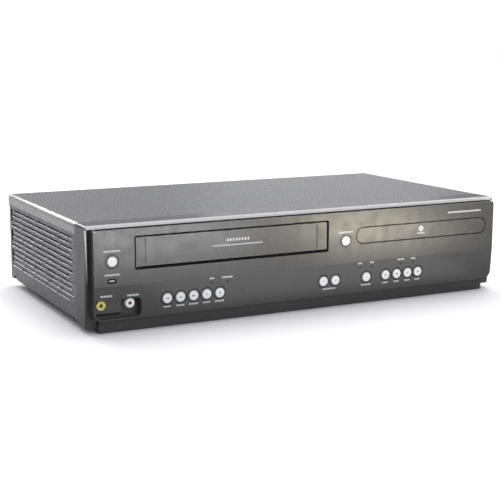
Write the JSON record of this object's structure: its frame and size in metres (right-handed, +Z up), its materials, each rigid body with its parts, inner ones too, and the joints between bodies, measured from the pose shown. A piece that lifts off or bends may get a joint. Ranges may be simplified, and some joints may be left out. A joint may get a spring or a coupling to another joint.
{
  "type": "dvd and video cassette player",
  "caption": "Slim box-shaped disc and tape player: steel cover with louvred sides, raised plastic front with a cassette flap, sliding disc tray, round push buttons and front sockets.",
  "frame": {"origin": "middle of the footprint, on the surface that the feet stand on", "axes": "+X to the right seen from the front, +Y from the front panel to the rear, +Z up"},
  "size_m": [0.435, 0.25, 0.095],
  "materials": {
    "panel_plastic": "satin",
    "cover_paint": "wrinkle texture",
    "dark_plastic": "matt",
    "button_silver": "silver",
    "tray_plastic": "satin",
    "steel": "zinc plated",
    "bright_steel": "polished",
    "aluminium": "turned",
    "board_green": "solder mask",
    "chip_black": "moulded",
    "yellow_ring": "gloss",
    "white_ring": "gloss",
    "lens_red": "tinted",
    "lens_dark": "tinted",
    "rubber": "matt",
    "white_plastic": "matt",
    "motor_steel": "satin"
  },
  "bodies": {
    "player": {"top_cover": "cover_paint", "base_chassis": "steel", "rear_panel": "steel", "front_panel": "panel_plastic", "feet": "dark_plastic", "cover_screws": "bright_steel", "door_spring": "bright_steel", "power_lens": "lens_red", "indicator_leds": "lens_dark", "remote_receiver": "lens_dark", "front_board": "board_green", "tact_switches": "chip_black", "front_video_jack": "yellow_ring", "front_audio_jack": "white_ring", "deck_plate": "steel", "head_drum_lower": "aluminium", "tape_guides": "bright_steel", "deck_motor": "motor_steel", "holder_rails": "steel", "drive_belt": "rubber", "loading_motor": "motor_steel", "loader_frame": "dark_plastic", "clamp_bridge": "steel", "circuit_boards": "board_green", "board_components": "chip_black", "loader_bracket": "steel", "rear_sockets": "dark_plastic", "cord_gland": "dark_plastic"},
    "cassette_flap": {"cassette_door": "tray_plastic"},
    "tray": {"disc_tray": "dark_plastic", "tray_front": "tray_plastic"},
    "tray_gear": {"tray_gear": "white_plastic"},
    "motor_pulley": {"motor_pulley": "white_plastic"},
    "traverse": {"traverse_frame": "dark_plastic", "guide_rods": "bright_steel", "spindle_motor": "motor_steel"},
    "turntable": {"turntable": "dark_plastic"},
    "pickup": {"optical_pickup": "chip_black"},
    "disc_clamp": {"disc_clamp": "white_plastic"},
    "supply_reel": {"supply_reel": "dark_plastic"},
    "takeup_reel": {"takeup_reel": "dark_plastic"},
    "upper_drum": {"head_drum_upper": "aluminium"},
    "capstan": {"capstan": "motor_steel"},
    "pinch_arm": {"pinch_arm": "steel"},
    "pinch_roller": {"pinch_roller": "rubber"},
    "cassette_holder": {"cassette_holder": "steel"},
    "power_button": {"power_button": "button_silver"},
    "open_close_button": {"open_close_button": "button_silver"},
    "rewind_button": {"rewind_button": "button_silver"},
    "forward_button": {"forward_button": "button_silver"},
    "stop_eject_button": {"stop_eject_button": "button_silver"},
    "play_button": {"play_button": "button_silver"},
    "record_button": {"record_button": "button_silver"},
    "skip_back_button": {"skip_back_button": "button_silver"},
    "disc_stop_button": {"disc_stop_button": "button_silver"},
    "disc_play_button": {"disc_play_button": "button_silver"},
    "skip_forward_button": {"skip_forward_button": "button_silver"},
    "channel_down_button": {"channel_down_button": "button_silver"},
    "channel_up_button": {"channel_up_button": "button_silver"},
    "source_button": {"source_button": "button_silver"}
  },
  "joints": [
    {"name": "power_press", "type": "slide", "parent": "player", "child": "power_button", "axis": [0, 1, 0], "range_m": [0, 0.0008], "stiffness_N_per_m": 400, "springref_m": -0.0005},
    {"name": "open_close_press", "type": "slide", "parent": "player", "child": "open_close_button", "axis": [0, 1, 0], "range_m": [0, 0.0008], "stiffness_N_per_m": 400, "springref_m": -0.0005},
    {"name": "rewind_press", "type": "slide", "parent": "player", "child": "rewind_button", "axis": [0, 1, 0], "range_m": [0, 0.0008], "stiffness_N_per_m": 400, "springref_m": -0.0005},
    {"name": "forward_press", "type": "slide", "parent": "player", "child": "forward_button", "axis": [0, 1, 0], "range_m": [0, 0.0008], "stiffness_N_per_m": 400, "springref_m": -0.0005},
    {"name": "stop_eject_press", "type": "slide", "parent": "player", "child": "stop_eject_button", "axis": [0, 1, 0], "range_m": [0, 0.0008], "stiffness_N_per_m": 400, "springref_m": -0.0005},
    {"name": "play_press", "type": "slide", "parent": "player", "child": "play_button", "axis": [0, 1, 0], "range_m": [0, 0.0008], "stiffness_N_per_m": 400, "springref_m": -0.0005},
    {"name": "record_press", "type": "slide", "parent": "player", "child": "record_button", "axis": [0, 1, 0], "range_m": [0, 0.0008], "stiffness_N_per_m": 400, "springref_m": -0.0005},
    {"name": "skip_back_press", "type": "slide", "parent": "player", "child": "skip_back_button", "axis": [0, 1, 0], "range_m": [0, 0.0008], "stiffness_N_per_m": 400, "springref_m": -0.0005},
    {"name": "disc_stop_press", "type": "slide", "parent": "player", "child": "disc_stop_button", "axis": [0, 1, 0], "range_m": [0, 0.0008], "stiffness_N_per_m": 400, "springref_m": -0.0005},
    {"name": "disc_play_press", "type": "slide", "parent": "player", "child": "disc_play_button", "axis": [0, 1, 0], "range_m": [0, 0.0008], "stiffness_N_per_m": 400, "springref_m": -0.0005},
    {"name": "skip_forward_press", "type": "slide", "parent": "player", "child": "skip_forward_button", "axis": [0, 1, 0], "range_m": [0, 0.0008], "stiffness_N_per_m": 400, "springref_m": -0.0005},
    {"name": "channel_down_press", "type": "slide", "parent": "player", "child": "channel_down_button", "axis": [0, 1, 0], "range_m": [0, 0.0008], "stiffness_N_per_m": 400, "springref_m": -0.0005},
    {"name": "channel_up_press", "type": "slide", "parent": "player", "child": "channel_up_button", "axis": [0, 1, 0], "range_m": [0, 0.0008], "stiffness_N_per_m": 400, "springref_m": -0.0005},
    {"name": "source_press", "type": "slide", "parent": "player", "child": "source_button", "axis": [0, 1, 0], "range_m": [0, 0.0008], "stiffness_N_per_m": 400, "springref_m": -0.0005},
    {"name": "flap_swing", "type": "hinge", "parent": "player", "child": "cassette_flap", "pos_m": [-0.0783, -0.1195, 0.0864], "axis": [1, 0, 0], "range_deg": [0, 88], "stiffness_Nm_per_rad": 0.004, "springref_deg": -17.19},
    {"name": "tray_slide", "type": "slide", "parent": "player", "child": "tray", "axis": [0, -1, 0], "range_m": [0, 0.136]},
    {"name": "tray_gear_turn", "type": "hinge", "parent": "player", "child": "tray_gear", "pos_m": [0.0707, -0.087, 0.062], "axis": [0, 0, 1], "range_deg": [-3, 788]},
    {"name": "motor_turn", "type": "hinge", "parent": "player", "child": "motor_pulley", "pos_m": [0.1067, -0.088, 0.0584], "axis": [0, 0, 1], "range_deg": [-10, 2475]},
    {"name": "traverse_tilt", "type": "hinge", "parent": "player", "child": "traverse", "pos_m": [0.12615, 0.051, 0.0546], "axis": [1, 0, 0], "range_deg": [0, 4.2]},
    {"name": "turntable_spin", "type": "hinge", "parent": "traverse", "child": "turntable", "pos_m": [0.12615, -0.047, 0.067], "axis": [0, 0, 1], "continuous": true},
    {"name": "pickup_feed", "type": "slide", "parent": "traverse", "child": "pickup", "axis": [0, 1, 0], "range_m": [0, 0.034]},
    {"name": "clamp_spin", "type": "hinge", "parent": "player", "child": "disc_clamp", "pos_m": [0.12615, -0.047, 0.074], "axis": [0, 0, 1], "continuous": true},
    {"name": "supply_reel_spin", "type": "hinge", "parent": "player", "child": "supply_reel", "pos_m": [-0.1243, -0.033, 0.034], "axis": [0, 0, 1], "continuous": true},
    {"name": "takeup_reel_spin", "type": "hinge", "parent": "player", "child": "takeup_reel", "pos_m": [-0.0323, -0.033, 0.034], "axis": [0, 0, 1], "continuous": true},
    {"name": "head_drum_spin", "type": "hinge", "parent": "player", "child": "upper_drum", "pos_m": [-0.0783, 0.045, 0.048], "axis": [0, 0, 1], "continuous": true},
    {"name": "capstan_spin", "type": "hinge", "parent": "player", "child": "capstan", "pos_m": [-0.0163, 0.017, 0.03], "axis": [0, 0, 1], "continuous": true},
    {"name": "pinch_arm_swing", "type": "hinge", "parent": "player", "child": "pinch_arm", "pos_m": [0.0121, 0.00938, 0.03], "axis": [0, 0, 1], "range_deg": [-18, 0]},
    {"name": "pinch_roller_spin", "type": "hinge", "parent": "pinch_arm", "child": "pinch_roller", "pos_m": [-0.01073, 0.00196, 0.038], "axis": [0, 0, 1], "continuous": true},
    {"name": "holder_slide", "type": "slide", "parent": "player", "child": "cassette_holder", "axis": [0, 1, 0], "range_m": [0, 0.04]}
  ],
  "couplings": [
    {"joint": "tray_gear_turn", "follows": "tray_slide", "rad_per_m": 100},
    {"joint": "motor_turn", "follows": "tray_slide", "rad_per_m": 314.29},
    {"joint": "traverse_tilt", "follows": "tray_slide", "rad_per_m": 0.5389}
  ]
}
